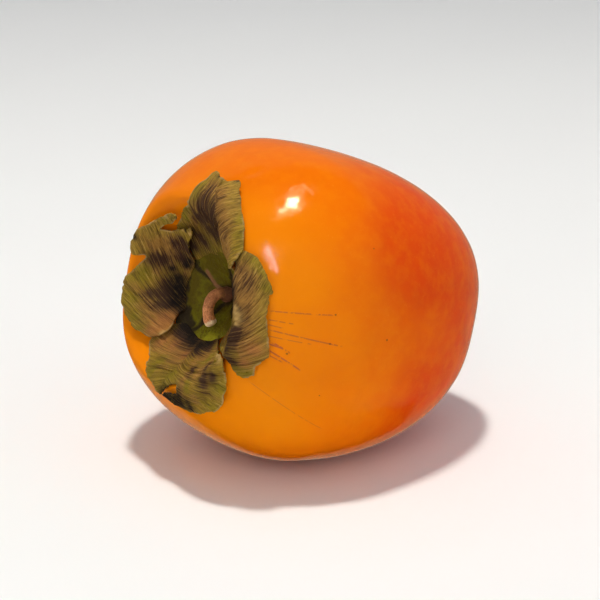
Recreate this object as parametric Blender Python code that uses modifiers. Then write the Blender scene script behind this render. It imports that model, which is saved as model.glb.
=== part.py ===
"""A ripe persimmon lying on its side, with its calyx and the stub of its stem.

The fruit is one solid, turned about its own axis and slightly squared. At the
stem end its shoulder rolls over into a shallow hollow. The calyx sits in that
hollow: a dished disc, four sepals that climb the wall and fold out over the
shoulder, and a short curved stem. A dried style tip closes the other end.

Everything is shaped in the fruit's own frame, which one empty lays down:
    +Z  along the axis, out of the stem end
    +X  towards the side that faces up once the fruit lies down
Places round the axis are bearings, clockwise from the top as the stem end is
looked at, and reaches, straight out from the axis.
"""
import bmesh
import bpy
from math import atan2, cos, exp, pi, radians, sin, sqrt
from mathutils import Matrix, Vector

MM = 0.001

# Fruit
RADIUS = 36.7 * MM              # half of the widest section
STEM_RISE = 34.1 * MM           # widest section to the uncut dome at the stem end
BLOSSOM_REACH = 54.6 * MM       # widest section to the blossom end
STEM_FULLNESS = 1.7             # superellipse powers: 2 is an ellipse
BLOSSOM_FULLNESS = 2.1
SQUARENESS = 0.04               # how far the four sides are pressed in
HOLLOW_FLOOR = 9.4 * MM         # widest section to the bottom of the hollow
HOLLOW_RISE = 15.1 * MM         # height of its wall ...
HOLLOW_RADIUS = 21.0 * MM       # ... at this reach
HOLLOW_POWER = 1.25
LIP_ROUNDING = 3.0 * MM         # where the wall turns over into the shoulder
FRUIT_SEGMENTS = 56
FRUIT_RINGS = 36
FLAT_EDGE = radians(40)         # edges sharper than this are shaded sharp

# How it lies
AXIS_TILT = radians(13.4)       # the stem end is raised this much
CENTRE_X = -11.9 * MM           # widest section's centre, from the origin
CENTRE_HEIGHT = 36.5 * MM       # ... and over the ground, 0.36 mm low: the flat spot

# Calyx and stem
CLEARANCE = 0.35 * MM           # between touching pieces
DISC_RADIUS = 10.2 * MM
DISC_THICKNESS = 1.0 * MM
SEPAL_BASE = 11.4 * MM          # reach of the sepals' inner ends
SEPAL_THICKNESS = 0.9 * MM
SEPAL_ACROSS = 26               # faces across and along each sepal
SEPAL_ALONG = 10
FOLD_START = 0.4                # share of a sepal's length over which its folds rise
STEM_RADIUS = 1.3 * MM
STEM_FOOT = 1.1                 # how much thicker the stem is at its foot
STEM_STEPS = 18
STYLE_LENGTH = 1.6 * MM
STYLE_RADIUS = 0.9 * MM
STYLE_TAPER = 0.35

# The stem's line: up, towards the front, and along the axis
STEM_LINE = [
    (0.0, 0.1, 12.1), (0.5, 0.2, 13.6), (0.2, 0.4, 15.2), (-1.0, 0.5, 16.5),
    (-2.9, 1.0, 17.2), (-4.8, 1.7, 17.1), (-6.2, 2.4, 16.5),
]

# Each sepal runs from its base, between two bearings at the disc's edge, to its
# outline, a list of (bearing in degrees, reach in mm). Its lift is how far the
# outline stands off the skin. A fold is raised along a line of such points, to
# a height, with the widths of its low-bearing and its high-bearing slope.
SEPALS = {
    "sepal_upper": {
        "base": (-46, 47),
        "outline": [(-36, 16.5), (-15, 19.4), (-3, 22.0), (1, 25.8), (11, 25.4), (17, 26.8),
                    (27, 26.0), (38, 25.2), (48, 23.8), (52, 21.0)],
        "lift": 0.6,
        "folds": [([(24, 10.5), (27, 19.0), (15, 25.0)], 1.9, 1.8, 5.0)],
    },
    "sepal_front": {
        "base": (55, 114),
        "outline": [(57, 20.5), (57, 23.8), (64, 25.8), (74, 26.2), (86, 25.6), (94, 26.0),
                    (102, 26.8), (109, 26.6), (114, 25.6), (116, 22.0)],
        "lift": 0.7,
        "folds": [([(70, 11.0), (74, 20.0), (75, 26.0)], 1.2, 4.0, 4.0),
                  ([(98, 11.0), (100, 20.0), (106, 27.0)], 1.4, 4.0, 2.2)],
    },
    "sepal_lower": {
        "base": (121, 209),
        "outline": [(120, 21.0), (124, 23.9), (132, 25.3), (139, 25.9), (147, 25.5),
                    (154, 24.3), (158, 22.2), (166, 20.6), (175, 21.4), (184, 21.2),
                    (197, 20.3), (209, 18.4)],
        "lift": 0.6,
        "folds": [([(148, 11.0), (142, 20.0), (144, 26.5)], 1.3, 5.0, 4.0),
                  ([(196, 11.5), (189, 17.0), (184, 21.5)], 1.3, 3.0, 4.0)],
    },
    "sepal_back": {
        "base": (216, 307),
        "outline": [(222, 17.3), (232, 19.0), (241, 19.8), (249, 20.6), (257, 21.0),
                    (266, 20.4), (273, 19.4), (280, 18.5), (286, 20.0), (293, 21.4),
                    (303, 21.3), (314, 20.6), (323, 19.2)],
        "lift": 0.2,
        "folds": [([(243, 11.0), (246, 15.0), (248, 18.0)], 0.6, 4.0, 4.0),
                  ([(302, 11.5), (304, 16.0), (306, 20.0)], 1.2, 3.0, 2.5)],
    },
}

SKIN_ORANGE = (0.69, 0.19, 0.01)
SEPAL_OLIVE = (0.19, 0.14, 0.04)
DISC_GREEN = (0.10, 0.10, 0.01)
STEM_BROWN = (0.26, 0.08, 0.03)
STYLE_BLACK = (0.02, 0.012, 0.008)


def superellipse(reach, height, fullness):
    """Height over the widest section of a dome that ends at the given height."""
    return height * max(0.0, 1 - (reach / RADIUS) ** fullness) ** (1 / fullness)


def soft_lower(a, b, rounding):
    """The lower of two heights, with the corner between them rounded."""
    share = min(max(0.5 + 0.5 * (b - a) / rounding, 0.0), 1.0)
    return b * (1 - share) + a * share - rounding * share * (1 - share)


def squared(bearing):
    """How far a side is pressed in at a bearing, as a factor on its reach."""
    return 1 - SQUARENESS * cos(4 * bearing)


def hollowed(dome, round_reach):
    """A dome's height once the hollow for the calyx is pressed into it."""
    wall = HOLLOW_FLOOR + HOLLOW_RISE * (round_reach / HOLLOW_RADIUS) ** HOLLOW_POWER
    return soft_lower(dome, wall, LIP_ROUNDING)


def skin_height(reach, bearing):
    """Height of the skin along the axis, anywhere at the stem end."""
    round_reach = reach / squared(bearing)
    return hollowed(superellipse(round_reach, STEM_RISE, STEM_FULLNESS), round_reach)


def above_skin(reach, bearing, lift):
    """The point that lies over the skin by a lift, square to its slope."""
    outer = reach + 0.1 * MM
    inner = max(reach - 0.1 * MM, 0.0)
    rise = skin_height(outer, bearing) - skin_height(inner, bearing)
    slope = rise / (outer - inner)
    length = sqrt(1 + slope * slope)
    out = reach - slope * lift / length
    height = skin_height(reach, bearing) + lift / length
    return Vector((out * cos(bearing), -out * sin(bearing), height))


def material(name, colour, roughness):
    """A plain Principled material."""
    made = bpy.data.materials.new(name)
    made.use_nodes = True
    shader = made.node_tree.nodes["Principled BSDF"]
    shader.inputs["Base Color"].default_value = (*colour, 1.0)
    shader.inputs["Roughness"].default_value = roughness
    shader.inputs["Metallic"].default_value = 0.0
    return made


def placed(name, mesh_or_curve, frame, finish):
    """Put a shape in the scene, in the fruit's frame and with its material."""
    obj = bpy.data.objects.new(name, mesh_or_curve)
    bpy.data.collections["persimmon"].objects.link(obj)
    mesh_or_curve.materials.append(finish)
    obj.parent = frame
    return obj


def sphere_mesh(name, segments, rings, shape):
    """A sphere whose unit points are moved by a function of their place."""
    bm = bmesh.new()
    bmesh.ops.create_uvsphere(bm, u_segments=segments, v_segments=rings, radius=1)
    for vert in bm.verts:
        vert.co = shape(vert.co)
    mesh = bpy.data.meshes.new(name)
    bm.to_mesh(mesh)
    bm.free()
    mesh.shade_smooth()
    return mesh


def fruit_point(unit):
    """Where a point of the unit sphere lies on the fruit."""
    bearing = atan2(-unit.y, unit.x)
    across = sqrt(unit.x ** 2 + unit.y ** 2)
    at_stem_end = unit.z > 0
    end = STEM_RISE if at_stem_end else BLOSSOM_REACH
    fullness = STEM_FULLNESS if at_stem_end else BLOSSOM_FULLNESS
    spread = (abs(unit.z) / end) ** fullness + (across / RADIUS) ** fullness
    distance = spread ** (-1 / fullness)
    round_reach = distance * across
    height = distance * unit.z
    if at_stem_end:
        height = hollowed(height, round_reach)
    reach = round_reach * squared(bearing)
    return Vector((reach * cos(bearing), -reach * sin(bearing), height))


def make_fruit(frame):
    """The whole fruit, with the small flat spot that it rests on."""
    mesh = sphere_mesh("fruit", FRUIT_SEGMENTS, FRUIT_RINGS, fruit_point)
    up = Vector((cos(AXIS_TILT), 0, sin(AXIS_TILT)))
    bm = bmesh.new()
    bm.from_mesh(mesh)
    everything = bm.verts[:] + bm.edges[:] + bm.faces[:]
    cut = bmesh.ops.bisect_plane(bm, geom=everything, plane_co=-CENTRE_HEIGHT * up,
                                 plane_no=up, clear_inner=True)
    rim = [item for item in cut["geom_cut"] if isinstance(item, bmesh.types.BMEdge)]
    bmesh.ops.contextual_create(bm, geom=rim)
    bmesh.ops.recalc_face_normals(bm, faces=bm.faces)
    bm.to_mesh(mesh)
    bm.free()
    mesh.set_sharp_from_angle(angle=FLAT_EDGE)
    placed("fruit", mesh, frame, material("skin", SKIN_ORANGE, 0.3))


def disc_point(unit):
    """Where a point of the unit sphere lies on the dished disc."""
    bearing = atan2(-unit.y, unit.x)
    reach = DISC_RADIUS * sqrt(unit.x ** 2 + unit.y ** 2)
    lift = CLEARANCE + DISC_THICKNESS * (0.5 + 0.5 * unit.z)
    return above_skin(reach, bearing, lift)


def make_disc(frame):
    """The middle of the calyx, lining the floor of the hollow."""
    mesh = sphere_mesh("calyx_disc", 32, 14, disc_point)
    placed("calyx_disc", mesh, frame, material("calyx_green", DISC_GREEN, 0.55))


def on_plan(bearing_degrees, reach_mm):
    """A bearing and a reach as a point of the section plane."""
    bearing = radians(bearing_degrees)
    return Vector((cos(bearing), sin(bearing))) * reach_mm * MM


def along_curve(points, share):
    """A point on the smooth curve through a list of points."""
    place = share * (len(points) - 1)
    first = min(int(place), len(points) - 2)
    t = place - first
    a, b, c, d = (points[min(max(first + k, 0), len(points) - 1)] for k in (-1, 0, 1, 2))
    return 0.5 * (2 * b + (c - a) * t + (2 * a - 5 * b + 4 * c - d) * t ** 2
                  + (3 * b - a - 3 * c + d) * t ** 3)


def fold_height(spot, fold):
    """How much one fold raises a spot of the section plane."""
    line, height, low_side, high_side = fold
    corners = [on_plan(*point) for point in line]
    misses = []
    for start, end in zip(corners, corners[1:]):
        run = end - start
        share = min(max((spot - start).dot(run) / run.length_squared, 0.0), 1.0)
        away = spot - (start + run * share)
        misses.append((away.length, run.x * away.y - run.y * away.x))
    distance, side = min(misses)
    width = (high_side if side > 0 else low_side) * MM
    return height * MM * exp(-(distance / width) ** 2)


def sepal_point(sepal, across, along):
    """A point of a sepal's underside, by its shares across and along."""
    low, high = sepal["base"]
    base = on_plan(low + (high - low) * across, SEPAL_BASE / MM)
    outline = [on_plan(*point) for point in sepal["outline"]]
    margin = along_curve(outline, across)
    spot = base.lerp(margin, along)
    folds = sum(fold_height(spot, fold) for fold in sepal["folds"])
    lift = CLEARANCE + sepal["lift"] * MM * along + folds * min(1.0, along / FOLD_START)
    return above_skin(spot.length, atan2(spot.y, spot.x), lift)


def make_sepal(name, sepal, frame, finish):
    """One sepal: a thin sheet that climbs the wall and lies over the shoulder."""
    bpy.ops.mesh.primitive_grid_add(x_subdivisions=SEPAL_ACROSS,
                                    y_subdivisions=SEPAL_ALONG, size=2)
    grid = bpy.context.object
    mesh = grid.data
    bpy.data.objects.remove(grid)
    for vert in mesh.vertices:
        vert.co = sepal_point(sepal, 0.5 + 0.5 * vert.co.x, 0.5 + 0.5 * vert.co.y)
    mesh.shade_smooth()
    obj = placed(name, mesh, frame, finish)
    wall = obj.modifiers.new("thickness", "SOLIDIFY")
    wall.thickness = SEPAL_THICKNESS
    wall.offset = 1


def make_stem(frame):
    """The curved stub of stem that stands on the disc."""
    curve = bpy.data.curves.new("stem", "CURVE")
    curve.dimensions = "3D"
    line = curve.splines.new("POLY")
    points = [Vector((up, -front, out)) * MM for up, front, out in STEM_LINE]
    line.points.add(STEM_STEPS)
    for k, point in enumerate(line.points):
        share = k / STEM_STEPS
        point.co = (*along_curve(points, share), 1.0)
        point.radius = STEM_FOOT + (1 - STEM_FOOT) * share
    curve.bevel_depth = STEM_RADIUS
    curve.bevel_resolution = 2
    curve.use_fill_caps = True
    placed("stem", curve, frame, material("stem_bark", STEM_BROWN, 0.7))


def make_style_tip(frame):
    """The dried tip of the style, at the blossom end."""
    bm = bmesh.new()
    bmesh.ops.create_cone(bm, cap_ends=True, segments=16, radius1=STYLE_RADIUS,
                          radius2=STYLE_TAPER * STYLE_RADIUS, depth=STYLE_LENGTH)
    middle = BLOSSOM_REACH + CLEARANCE + STYLE_LENGTH / 2
    bmesh.ops.rotate(bm, verts=bm.verts, matrix=Matrix.Rotation(pi, 3, "X"))
    bmesh.ops.translate(bm, verts=bm.verts, vec=(0, 0, -middle))
    mesh = bpy.data.meshes.new("style_tip")
    bm.to_mesh(mesh)
    bm.free()
    mesh.shade_smooth()
    mesh.set_sharp_from_angle(angle=FLAT_EDGE)
    placed("style_tip", mesh, frame, material("dried_style", STYLE_BLACK, 0.8))


def main():
    """Clear the scene and build the persimmon."""
    for old in list(bpy.data.objects):
        bpy.data.objects.remove(old)
    collection = bpy.data.collections.new("persimmon")
    bpy.context.scene.collection.children.link(collection)

    frame = bpy.data.objects.new("lying_down", None)
    collection.objects.link(frame)
    frame.location = (CENTRE_X, 0, CENTRE_HEIGHT)
    frame.rotation_euler = (0, AXIS_TILT - pi / 2, 0)

    make_fruit(frame)
    make_disc(frame)
    leathery = material("sepal_leather", SEPAL_OLIVE, 0.7)
    for name, sepal in SEPALS.items():
        make_sepal(name, sepal, frame, leathery)
    make_stem(frame)
    make_style_tip(frame)


main()
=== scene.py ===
"""Finishes the persimmon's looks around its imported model.

The fruit lies on its side. It is shaped in its own frame, which is then laid
down: +Z runs along the axis and out of the stem end, and +X towards the side
that faces up. Places round the axis are bearings in degrees, clockwise from
the top as the stem end is looked at, and reaches in millimetres, straight out
from the axis. A lift is measured off the skin, square to it, in millimetres.
Lengths are in millimetres unless a comment says otherwise.
"""
from math import acos, atan2, cos, degrees, exp, pi, radians, sin, sqrt

import bpy
import numpy as np
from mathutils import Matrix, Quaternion, Vector, noise
from mathutils.geometry import delaunay_2d_cdt


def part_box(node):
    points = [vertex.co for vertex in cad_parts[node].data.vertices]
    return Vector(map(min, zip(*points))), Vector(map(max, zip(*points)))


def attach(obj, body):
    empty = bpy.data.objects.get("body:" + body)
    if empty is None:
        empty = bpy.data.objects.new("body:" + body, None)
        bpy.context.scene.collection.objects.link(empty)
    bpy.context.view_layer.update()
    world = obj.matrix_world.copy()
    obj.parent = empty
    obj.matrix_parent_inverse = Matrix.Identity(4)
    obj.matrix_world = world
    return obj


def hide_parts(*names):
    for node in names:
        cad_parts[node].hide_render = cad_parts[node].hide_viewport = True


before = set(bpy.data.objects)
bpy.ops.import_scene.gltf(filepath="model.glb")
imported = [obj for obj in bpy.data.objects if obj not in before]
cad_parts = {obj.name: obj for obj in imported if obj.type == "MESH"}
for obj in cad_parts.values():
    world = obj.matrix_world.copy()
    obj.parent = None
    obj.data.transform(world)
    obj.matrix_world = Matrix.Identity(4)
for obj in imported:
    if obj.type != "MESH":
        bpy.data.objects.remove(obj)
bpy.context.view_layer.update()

bl_info = {
    "name": "Persimmon Finish",
    "version": (1, 0, 0),
    "blender": (4, 5, 0),
    "location": "View3D > Sidebar > Persimmon",
    "description": "Models and paints a ripe persimmon with its dried calyx",
    "category": "Add Mesh",
}

MM = 0.001
FRUIT_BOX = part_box("fruit")
CLEARANCE = 0.35                # between touching pieces

# The fruit's form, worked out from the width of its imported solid
SQUARENESS = 0.04               # how far its round section is pressed towards a square
RADIUS = (FRUIT_BOX[1].y - FRUIT_BOX[0].y) / 2 / (1 - SQUARENESS) / MM
STEM_RISE = 0.929 * RADIUS      # widest section to the uncut dome at the stem end
BLOSSOM_REACH = 1.488 * RADIUS  # widest section to the blossom end
STEM_FULLNESS = 1.7             # superellipse powers: 2 is an ellipse
BLOSSOM_FULLNESS = 2.1
HOLLOW_FLOOR = 0.256 * RADIUS   # above the widest section
HOLLOW_RISE = 0.411 * RADIUS    # from the floor up to the hollow's radius
HOLLOW_RADIUS = 0.572 * RADIUS
HOLLOW_POWER = 1.25
LIP_ROUNDING = 0.082 * RADIUS
SLOPE_STEP = 0.1                # the skin's slope is taken over this, both ways

# How it lies
AXIS_TILT = radians(13.4)
CENTRE = Vector((-0.324 * RADIUS, 0, 0.9946 * RADIUS))


# ---------------------------------------------------------------- small sums

def clamped(value):
    """A number held between 0 and 1."""
    return min(1.0, max(0.0, value))


def bell(away, width):
    """1 at no distance, falling smoothly to about a third at the width."""
    return exp(-(away / width) ** 2)


def ripple(point, apart, seed=0.0):
    """Smooth noise from -1 to 1 whose bumps are about this far apart."""
    return noise.noise(Vector((point.x, point.y, point.z + seed * 17.0)) / apart)


def curve_point(a, b, c, d, t):
    """A point of the smooth curve through four points, from b at 0 to c at 1."""
    return 0.5 * (2 * b + (c - a) * t + (2 * a - 5 * b + 4 * c - d) * t ** 2
                  + (3 * b - a - 3 * c + d) * t ** 3)


def along_line(points, share):
    """A point on the smooth curve through a list of points."""
    place = share * (len(points) - 1)
    first = min(int(place), len(points) - 2)
    near = (points[min(max(first + k, 0), len(points) - 1)] for k in (-1, 0, 1, 2))
    return curve_point(*near, place - first)


def on_plan(bearing_degrees, reach):
    """A bearing and a reach as a point of the section plane."""
    bearing = radians(bearing_degrees)
    return Vector((cos(bearing), sin(bearing))) * reach


# ---------------------------------------------------------------- the skin

def superellipse(reach, height, fullness):
    """Height over the widest section of a dome that ends at the given height."""
    return height * max(0.0, 1 - (reach / RADIUS) ** fullness) ** (1 / fullness)


def soft_lower(a, b, rounding):
    """The lower of two heights, with the corner between them rounded."""
    share = clamped(0.5 + 0.5 * (b - a) / rounding)
    return b * (1 - share) + a * share - rounding * share * (1 - share)


def squared(bearing):
    """How far a side is pressed in at a bearing, as a factor on its reach."""
    return 1 - SQUARENESS * cos(4 * bearing)


def hollowed(dome, round_reach):
    """A dome's height once the hollow for the calyx is pressed into it."""
    wall = HOLLOW_FLOOR + HOLLOW_RISE * (round_reach / HOLLOW_RADIUS) ** HOLLOW_POWER
    return soft_lower(dome, wall, LIP_ROUNDING)


def skin_height(reach, bearing):
    """Height of the skin along the axis, anywhere at the stem end."""
    round_reach = reach / squared(bearing)
    return hollowed(superellipse(round_reach, STEM_RISE, STEM_FULLNESS), round_reach)


def above_skin(reach, bearing, lift):
    """The point that lies over the skin by a lift, square to its slope."""
    outer = reach + SLOPE_STEP
    inner = max(reach - SLOPE_STEP, 0.0)
    rise = skin_height(outer, bearing) - skin_height(inner, bearing)
    slope = rise / (outer - inner)
    length = sqrt(1 + slope * slope)
    out = reach - slope * lift / length
    height = skin_height(reach, bearing) + lift / length
    return Vector((out * cos(bearing), -out * sin(bearing), height))


def lying(point):
    """A point of the fruit's frame, in millimetres, as it lies in the row frame."""
    up = Vector((sin(AXIS_TILT), 0, cos(AXIS_TILT)))
    along = Vector((-cos(AXIS_TILT), 0, sin(AXIS_TILT)))
    return (CENTRE + up * point.x + Vector((0, point.y, 0)) + along * point.z) * MM


# ---------------------------------------------------------------- shader maths

class Value:
    """A number or colour socket, with the operators that shader maths needs."""

    def __init__(self, tree, socket):
        self.tree = tree
        self.socket = socket

    def maths(self, operation, *others, swap=False):
        """A Math node that takes this value first, or second if swapped."""
        node = self.tree.nodes.new("ShaderNodeMath")
        node.operation = operation
        terms = (*others, self) if swap else (self, *others)
        for place, term in zip(node.inputs, terms):
            connect(self.tree, place, term)
        return Value(self.tree, node.outputs[0])

    def __add__(self, other):
        return self.maths("ADD", other)

    def __sub__(self, other):
        return self.maths("SUBTRACT", other)

    def __rsub__(self, other):
        return self.maths("SUBTRACT", other, swap=True)

    def __mul__(self, other):
        return self.maths("MULTIPLY", other)

    def __truediv__(self, other):
        return self.maths("DIVIDE", other)

    def __abs__(self):
        return self.maths("ABSOLUTE")

    __radd__ = __add__
    __rmul__ = __mul__

    def clamped(self):
        return self.maths("MINIMUM", 1.0).maths("MAXIMUM", 0.0)


def connect(tree, place, value):
    """Link a socket to a value, or set the number or colour that it holds."""
    if isinstance(value, Value):
        tree.links.new(value.socket, place)
    elif place.type == "RGBA":
        place.default_value = (*value[:3], 1.0)
    else:
        place.default_value = value


def diagonal(a, b):
    """The distance made up of two others that are square to each other."""
    return (a * a + b * b).maths("SQRT")


def strongest(values):
    """The largest of several values."""
    largest, *others = values
    for value in others:
        largest = largest.maths("MAXIMUM", value)
    return largest


class Finish:
    """A node material, built up one node at a time."""

    def __init__(self, name):
        self.material = bpy.data.materials.new(name)
        self.material.use_nodes = True
        self.tree = self.material.node_tree
        self.shader = self.tree.nodes["Principled BSDF"]

    def node(self, kind, settings=None, sockets=(), output=0):
        """Add a node: its settings first, then the values or links of its sockets."""
        node = self.tree.nodes.new("ShaderNode" + kind)
        for name, setting in (settings or {}).items():
            setattr(node, name, setting)
        pairs = sockets.items() if isinstance(sockets, dict) else enumerate(sockets)
        for key, value in pairs:
            connect(self.tree, node.inputs[key], value)
        return Value(self.tree, node.outputs[output])

    def in_fruit(self):
        """The place on the fruit, in its own frame and in millimetres."""
        return self.node("Mapping", {"vector_type": "TEXTURE"},
                         {"Vector": self.node("TexCoord", output="Object"),
                          "Location": CENTRE * MM, "Rotation": (0, AXIS_TILT - pi / 2, 0),
                          "Scale": (MM, MM, MM)})

    def split(self, vector):
        """A vector's three parts."""
        node = self.tree.nodes.new("ShaderNodeSeparateXYZ")
        connect(self.tree, node.inputs[0], vector)
        return [Value(self.tree, part) for part in node.outputs]

    def vector(self, *parts):
        return self.node("CombineXYZ", sockets=parts)

    def attribute(self, name):
        return self.node("Attribute", {"attribute_name": name}, output="Fac")

    def ramp(self, factor, low, high):
        """0 to 1, smoothly, as the factor goes from low to high."""
        if low > high:
            return 1 - self.ramp(factor, high, low)
        return self.node("MapRange", {"interpolation_type": "SMOOTHSTEP"},
                         {"Value": factor, "From Min": low, "From Max": high})

    def layered(self, colour, *layers):
        """A colour with others laid over it in turn, each as far as its own factor says."""
        for factor, over in layers:
            colour = self.node("Mix", {"data_type": "RGBA"}, {0: factor, 6: colour, 7: over},
                               output=2)
        return colour

    def noise(self, vector, scale, detail=3.0, roughness=0.55):
        """Smooth noise about 0.5, with bumps one over the scale apart."""
        return self.node("TexNoise", sockets={"Vector": vector, "Scale": scale,
                                              "Detail": detail, "Roughness": roughness})

    def bump(self, height, depth):
        """A normal from a height of 0 to 1 that stands for a depth in millimetres."""
        return self.node("Bump", sockets={"Height": height, "Strength": 1.0,
                                          "Distance": depth * MM})

    def set(self, **sockets):
        """Set or link the shader's own sockets, and return the material."""
        for name, value in sockets.items():
            connect(self.tree, self.shader.inputs[name.replace("_", " ")], value)
        return self.material


# ---------------------------------------------------------------- making meshes

def paint(mesh, name, values):
    """Give each point of a mesh a number that its material can read."""
    layer = mesh.attributes.new(name, "FLOAT", "POINT")
    layer.data.foreach_set("value", np.asarray(values, dtype=np.float32))


def shaped_ball(segments, rings, shape, *marks):
    """A closed ball whose points go where a shape puts them.

    For each point the shape gives its place on the fruit, and then a number for each
    of the marks, which is painted on.
    """
    bpy.ops.object.select_all(action="DESELECT")
    bpy.ops.mesh.primitive_uv_sphere_add(segments=segments, ring_count=rings, radius=1.0)
    obj = bpy.context.object
    painted = []
    for vert in obj.data.vertices:
        point, *numbers = shape(vert.co)
        vert.co = lying(point)
        painted.append(numbers)
    for mark, numbers in zip(marks, zip(*painted)):
        paint(obj.data, mark, numbers)
    bpy.ops.object.mode_set(mode="EDIT")
    bpy.ops.mesh.select_all(action="SELECT")
    bpy.ops.mesh.normals_make_consistent(inside=False)
    bpy.ops.object.mode_set(mode="OBJECT")
    return obj


def finish_piece(obj, name, material, node):
    """Name a piece, give it its material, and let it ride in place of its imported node."""
    obj.name = obj.data.name = name
    obj.data.materials.clear()
    obj.data.materials.append(material)
    obj.data.shade_smooth()
    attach(obj, "root")
    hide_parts(node)


# ---------------------------------------------------------------- fruit
# The skin's slight unevenness: how far apart its bumps are, their height, a seed
UNEVENNESS = [(19.0, 0.18, 0.0), (6.0, 0.05, 2.0)]
UNEVEN_FROM = 23.0              # the reach at which it begins at the stem end
UNEVEN_OVER = 4.0               # and how much further out it is at its full height
# Small dents: bearing, height along the axis, radius, depth
DENTS = [(12.8, 15.9, 1.5, 0.22), (20.0, 17.5, 1.1, 0.12), (1.0, 15.0, 1.8, 0.10),
         (35.0, 12.0, 2.2, 0.10), (30.0, 15.5, 1.4, 0.08), (72.8, 11.1, 2.0, 0.08),
         (150.0, -5.0, 2.5, 0.12), (230.0, 5.0, 2.0, 0.12), (300.0, -15.0, 2.4, 0.12)]
DENT_END = sqrt(6)              # a dent ends this many radii out
# Where the hollow's rim is a little fuller, behind the back sepal
FULLER_BEARING = 331.0
FULLER_REACH = 18.0
FULLER_HEIGHT = 0.8
FULLER_TURN = 12.0              # how wide it is, in degrees
FULLER_WIDTH = 2.0              # and from the axis outwards

# Redder and yellower patches: up, back and along the axis, radius, how much redder
PATCHES = [(13.0, -31.0, -22.0, 13.0, 8.0), (17.8, -32.6, -6.6, 20.0, 15.0),
           (-15.9, -31.7, -19.0, 16.0, 14.0), (-6.0, -35.0, -0.5, 16.0, -9.0),
           (30.0, -12.0, 18.0, 16.0, 8.0), (10.0, 33.0, -5.0, 20.0, 10.0),
           (-30.0, 8.0, -12.0, 18.0, 9.0)]
# Fine scratches: the bearing and the height along the axis at both ends, the
# width and how dark it is
SCRATCHES = [
    (83.9, 20.6, 83.0, 8.6, 0.24, 0.6), (92.6, 20.2, 94.0, 5.7, 0.24, 0.65),
    (95.5, 20.0, 95.0, 12.0, 0.18, 0.5), (97.4, 19.8, 100.5, 15.6, 0.32, 0.8),
    (101.8, 19.4, 106.0, 13.0, 0.28, 0.75), (99.0, 19.6, 99.5, 16.5, 0.24, 0.8),
    (119.1, 21.0, 125.4, 3.7, 0.16, 0.4), (88.0, 20.4, 88.2, 16.0, 0.20, 0.55),
    (90.3, 20.3, 90.8, 17.5, 0.20, 0.5), (104.0, 19.0, 105.0, 16.5, 0.24, 0.6),
]
# Dark specks: bearing, height along the axis, radius
SPECKS = [(82.8, 8.6, 0.28), (93.7, 8.7, 0.30), (90.7, -5.3, 0.34), (113.0, 8.1, 0.2),
          (101.0, 16.2, 0.3), (60.0, 1.0, 0.2), (200.0, 2.0, 0.3), (262.0, -12.0, 0.25),
          (330.0, -20.0, 0.3), (20.0, -30.0, 0.25)]
PORE_COLOUR = (0.95, 0.42, 0.06)
SCRATCH_COLOUR = (0.42, 0.075, 0.035)
SPECK_COLOUR = (0.10, 0.03, 0.01)
# The skin is painted darker in a ring round the style tip's foot
TIP_RING_DARK = (0.10, 0.035, 0.012)


def half_turn(angle):
    """An angle in degrees, brought between -180 and 180."""
    return (angle + 180) % 360 - 180


def dented(bearing, reach, height):
    """How deep a place on the skin is dented."""
    depth_here = 0.0
    for dent_bearing, dent_height, radius, depth in DENTS:
        sideways = radians(half_turn(degrees(bearing) - dent_bearing)) * reach
        away = sqrt(sideways ** 2 + (height - dent_height) ** 2)
        if away < DENT_END * radius:
            depth_here += depth * bell(away, radius)
    return depth_here


def fruit_shape(unit):
    """Where a point of the unit sphere lies on the fruit."""
    bearing = atan2(-unit.y, unit.x)
    across = sqrt(unit.x ** 2 + unit.y ** 2)
    at_stem_end = unit.z > 0
    end = STEM_RISE if at_stem_end else BLOSSOM_REACH
    fullness = STEM_FULLNESS if at_stem_end else BLOSSOM_FULLNESS
    spread = (abs(unit.z) / end) ** fullness + (across / RADIUS) ** fullness
    distance = spread ** (-1 / fullness)
    round_reach = distance * across
    height = distance * unit.z
    reach = round_reach * squared(bearing)
    if at_stem_end:
        turn = degrees(bearing) % 360 - FULLER_BEARING
        fuller = bell(turn, FULLER_TURN) * bell(reach - FULLER_REACH, FULLER_WIDTH)
        height = hollowed(height, round_reach) + FULLER_HEIGHT * fuller
    point = Vector((reach * cos(bearing), -reach * sin(bearing), height))
    grown = clamped((reach - UNEVEN_FROM) / UNEVEN_OVER) if at_stem_end else 1.0
    if grown == 0:
        return (point,)
    bumps = sum(rise * ripple(point, apart, seed) for apart, rise, seed in UNEVENNESS)
    uneven = bumps * grown - dented(bearing, reach, height)
    return (point + point.normalized() * uneven,)


def scratch_marks(skin, place, bearing, reach, along):
    """The scratches, as a number from 0 to how dark each is; they break off in places."""
    broken = skin.noise(place, 0.9, detail=2.0)
    unbroken = skin.ramp(broken, 0.36, 0.48)
    lines = []
    for start_bearing, start_height, end_bearing, end_height, width, dark in SCRATCHES:
        share = (start_height - along) / (start_height - end_height)
        course = share * radians(end_bearing - start_bearing) + radians(start_bearing)
        aside = abs(bearing - course) * reach
        line = skin.ramp(aside, width, 0.3 * width) * skin.ramp(abs(share - 0.5), 0.5, 0.42)
        lines.append(line * unbroken * dark)
    return strongest(lines)


def speck_marks(skin, bearing, reach, along):
    """The dark specks, as a number from 0 to 1."""
    spots = []
    for speck_bearing, height, radius in SPECKS:
        sideways = (bearing - radians(half_turn(speck_bearing))) * reach
        distance = diagonal(sideways, along - height)
        spots.append(skin.ramp(distance, radius, 0.3 * radius))
    return strongest(spots)


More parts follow.
